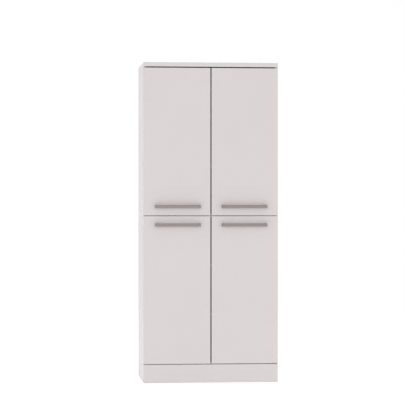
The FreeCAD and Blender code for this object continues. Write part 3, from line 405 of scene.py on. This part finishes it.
def cap(mesh, centre, outward):
    """Adds one cap to the mesh, its back on the board at the centre."""
    flat = CAP_RADIUS - CAP_RIM
    profile = [(CAP_RADIUS, 0.0)]
    for step in range(CAP_STEPS + 1):
        angle = math.radians(90 * step / CAP_STEPS)
        profile.append((flat + CAP_RIM * math.cos(angle), CAP_SKIRT + CAP_RIM * math.sin(angle)))
    for step in range(1, CAP_STEPS):
        share = step / CAP_STEPS
        rise = CAP_DOME * math.sin(share * math.pi / 2)
        profile.append((flat * (1 - share), CAP_SKIRT + CAP_RIM + rise))
    turn = Vector((0, 0, 1)).rotation_difference(Vector(outward)).to_matrix().to_4x4()
    at = Matrix.Translation(centre) @ turn
    angles = [2 * math.pi * k / CAP_SIDES for k in range(CAP_SIDES)]
    rings = []
    for radius, height in profile:
        places = [Vector((radius * math.cos(a), radius * math.sin(a), height)) for a in angles]
        rings.append([mesh.verts.new(at @ place) for place in places])
    pairs = [(k, (k + 1) % CAP_SIDES) for k in range(CAP_SIDES)]
    for lower, upper in zip(rings, rings[1:]):
        for k, after in pairs:
            mesh.faces.new((lower[k], lower[after], upper[after], upper[k]))
    crown = mesh.verts.new(at @ Vector((0, 0, profile[-1][1])))
    for k, after in pairs:
        mesh.faces.new((rings[-1][k], rings[-1][after], crown))
    mesh.faces.new(list(reversed(rings[0])))


def cam_cover_caps():
    side_low, side_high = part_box("left_side_panel")
    back_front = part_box("upper_back_panel")[0].y
    mesh = bmesh.new()
    for y in (side_low.y + CAM_FRONT_INSET, back_front - CAM_REAR_INSET):
        for sign in (-1, 1):
            inner = -sign * side_high.x
            cap(mesh, Vector((inner, y, side_high.z - CAM_INSET)), (-sign, 0, 0))
            for shelf in ("bottom_panel", "middle_shelf"):
                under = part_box(shelf)[0].z
                cap(mesh, Vector((inner - sign * CAM_INSET, y, under)), (0, 0, -1))
    data = bpy.data.meshes.new("cam_cover_caps")
    mesh.to_mesh(data)
    mesh.free()
    for face in data.polygons:
        face.use_smooth = True
    piece = bpy.data.objects.new("cam_cover_caps", data)
    bpy.context.scene.collection.objects.link(piece)
    return piece


caps = cam_cover_caps()
use(caps, white_plastic)
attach(caps, "carcass")


# Stage: a pale floor that runs far back and glows faintly, with soft light all round.

FLOOR_RADIUS = 6.0
FLOOR_CORNERS = 96
FLOOR_GLOW = 0.42
FRONT_WALL = (0.79, 0.79, 0.79)
BACK_WALL = (1.0, 1.0, 1.0)
LEFT_WALL = (1.07, 1.09, 1.09)
RIGHT_WALL = (0.93, 0.93, 0.93)
CEILING = (0.80, 0.80, 0.80)
UNCHANGED = (1.0, 1.0, 1.0)


def floor():
    data = bpy.data.meshes.new("floor")
    corners = [2 * math.pi * k / FLOOR_CORNERS for k in range(FLOOR_CORNERS)]
    ring = [(FLOOR_RADIUS * math.cos(a), FLOOR_RADIUS * math.sin(a), 0) for a in corners]
    data.from_pydata(ring, [], [tuple(range(FLOOR_CORNERS))])
    piece = bpy.data.objects.new("floor", data)
    bpy.context.scene.collection.objects.link(piece)
    t = Tree("pale_floor")
    grain = t.noise(9, 3.0, 0.5)
    colour = t.mix(t.remap(grain, 0.3, 0.7), (0.90, 0.90, 0.90), (0.92, 0.92, 0.92))
    roughness = t.remap(grain, 0.3, 0.7, 0.85, 0.95)
    use(piece, t.finish(colour, roughness, t.bump(grain, 0.1 * MM, 0.1), Specular_IOR_Level=0.1,
                        Emission_Color=(1, 1, 1, 1), Emission_Strength=FLOOR_GLOW))


def light(name, place, target, size, power, tone):
    data = bpy.data.lights.new(name, "AREA")
    data.shape = "RECTANGLE"
    data.size, data.size_y = size
    data.energy = power
    data.color = tone
    piece = bpy.data.objects.new(name, data)
    piece.location = place
    piece.rotation_euler = (Vector(target) - Vector(place)).to_track_quat("-Z", "Y").to_euler()
    bpy.context.scene.collection.objects.link(piece)


floor()
light("key", (-1.5, -4.8, 2.2), (0, 0, 1.2), (2.2, 1.2), 20, (0.930, 1.0, 1.0))
light("fill", (3.0, -3.0, 1.8), (0, 0, 0.9), (1.6, 1.6), 10, (1.0, 0.85, 0.88))


def studio():
    """Pale walls all round: white behind the cabinet, brighter on its left, dimmer in front and above."""
    world = bpy.data.worlds.new("studio")
    world.use_nodes = True
    tree = world.node_tree
    background = tree.nodes["Background"]
    split = tree.nodes.new("ShaderNodeSeparateXYZ")
    tree.links.new(tree.nodes.new("ShaderNodeTexCoord").outputs["Generated"], split.inputs[0])

    def over(source, stops):
        """A tone for each direction, from the stops along one axis."""
        scaled = tree.nodes.new("ShaderNodeMapRange")
        scaled.inputs["From Min"].default_value = -1
        scaled.inputs["From Max"].default_value = 1
        tree.links.new(source, scaled.inputs[0])
        ramp = tree.nodes.new("ShaderNodeValToRGB")
        ramp.color_ramp.interpolation = "EASE"
        points = ramp.color_ramp.elements
        for point, (place, tone) in zip([points[0], points[1]], (stops[0], stops[-1])):
            point.position = place
            point.color = (*tone, 1)
        for place, tone in stops[1:-1]:
            points.new(place).color = (*tone, 1)
        tree.links.new(scaled.outputs[0], ramp.inputs[0])
        return ramp.outputs[0]

    def times(a, b):
        mix = tree.nodes.new("ShaderNodeMix")
        mix.data_type = "RGBA"
        mix.blend_type = "MULTIPLY"
        mix.inputs[0].default_value = 1
        tree.links.new(a, mix.inputs[6])
        tree.links.new(b, mix.inputs[7])
        return mix.outputs[2]

    across, depth, up = split.outputs
    depth = over(depth, [(0.0, FRONT_WALL), (0.42, FRONT_WALL), (0.75, BACK_WALL), (1.0, BACK_WALL)])
    across = over(across, [(0.0, LEFT_WALL), (0.45, UNCHANGED), (0.55, UNCHANGED), (1.0, RIGHT_WALL)])
    up = over(up, [(0.0, UNCHANGED), (0.6, UNCHANGED), (1.0, CEILING)])
    tree.links.new(times(times(depth, across), up), background.inputs["Color"])
    background.inputs["Strength"].default_value = 1.0
    bpy.context.scene.world = world


studio()
bpy.context.scene.view_settings.view_transform = "Standard"
bpy.context.scene.view_settings.look = "None"


# Camera: a long lens, nearly level, a little to the left of the cabinet's middle.

CAMERA_TURN = math.radians(5.808)
CAMERA_DISTANCE = 9.671
CAMERA_HEIGHT = 0.921
LENS = 162.5
SENSOR_WIDTH = 36
FARTHEST = 200
AIM_LEFT = math.radians(0.148)
AIM_UP = math.radians(0.080)

lens = bpy.data.cameras.new("camera")
lens.sensor_width = SENSOR_WIDTH
lens.lens = LENS
lens.clip_end = FARTHEST
camera = bpy.data.objects.new("camera", lens)
aside, back = math.sin(CAMERA_TURN), math.cos(CAMERA_TURN)
camera.location = (-CAMERA_DISTANCE * aside, -CAMERA_DISTANCE * back, CAMERA_HEIGHT)
camera.rotation_euler = (math.pi / 2 + AIM_UP, 0, AIM_LEFT - CAMERA_TURN)
bpy.context.scene.collection.objects.link(camera)
bpy.context.scene.camera = camera
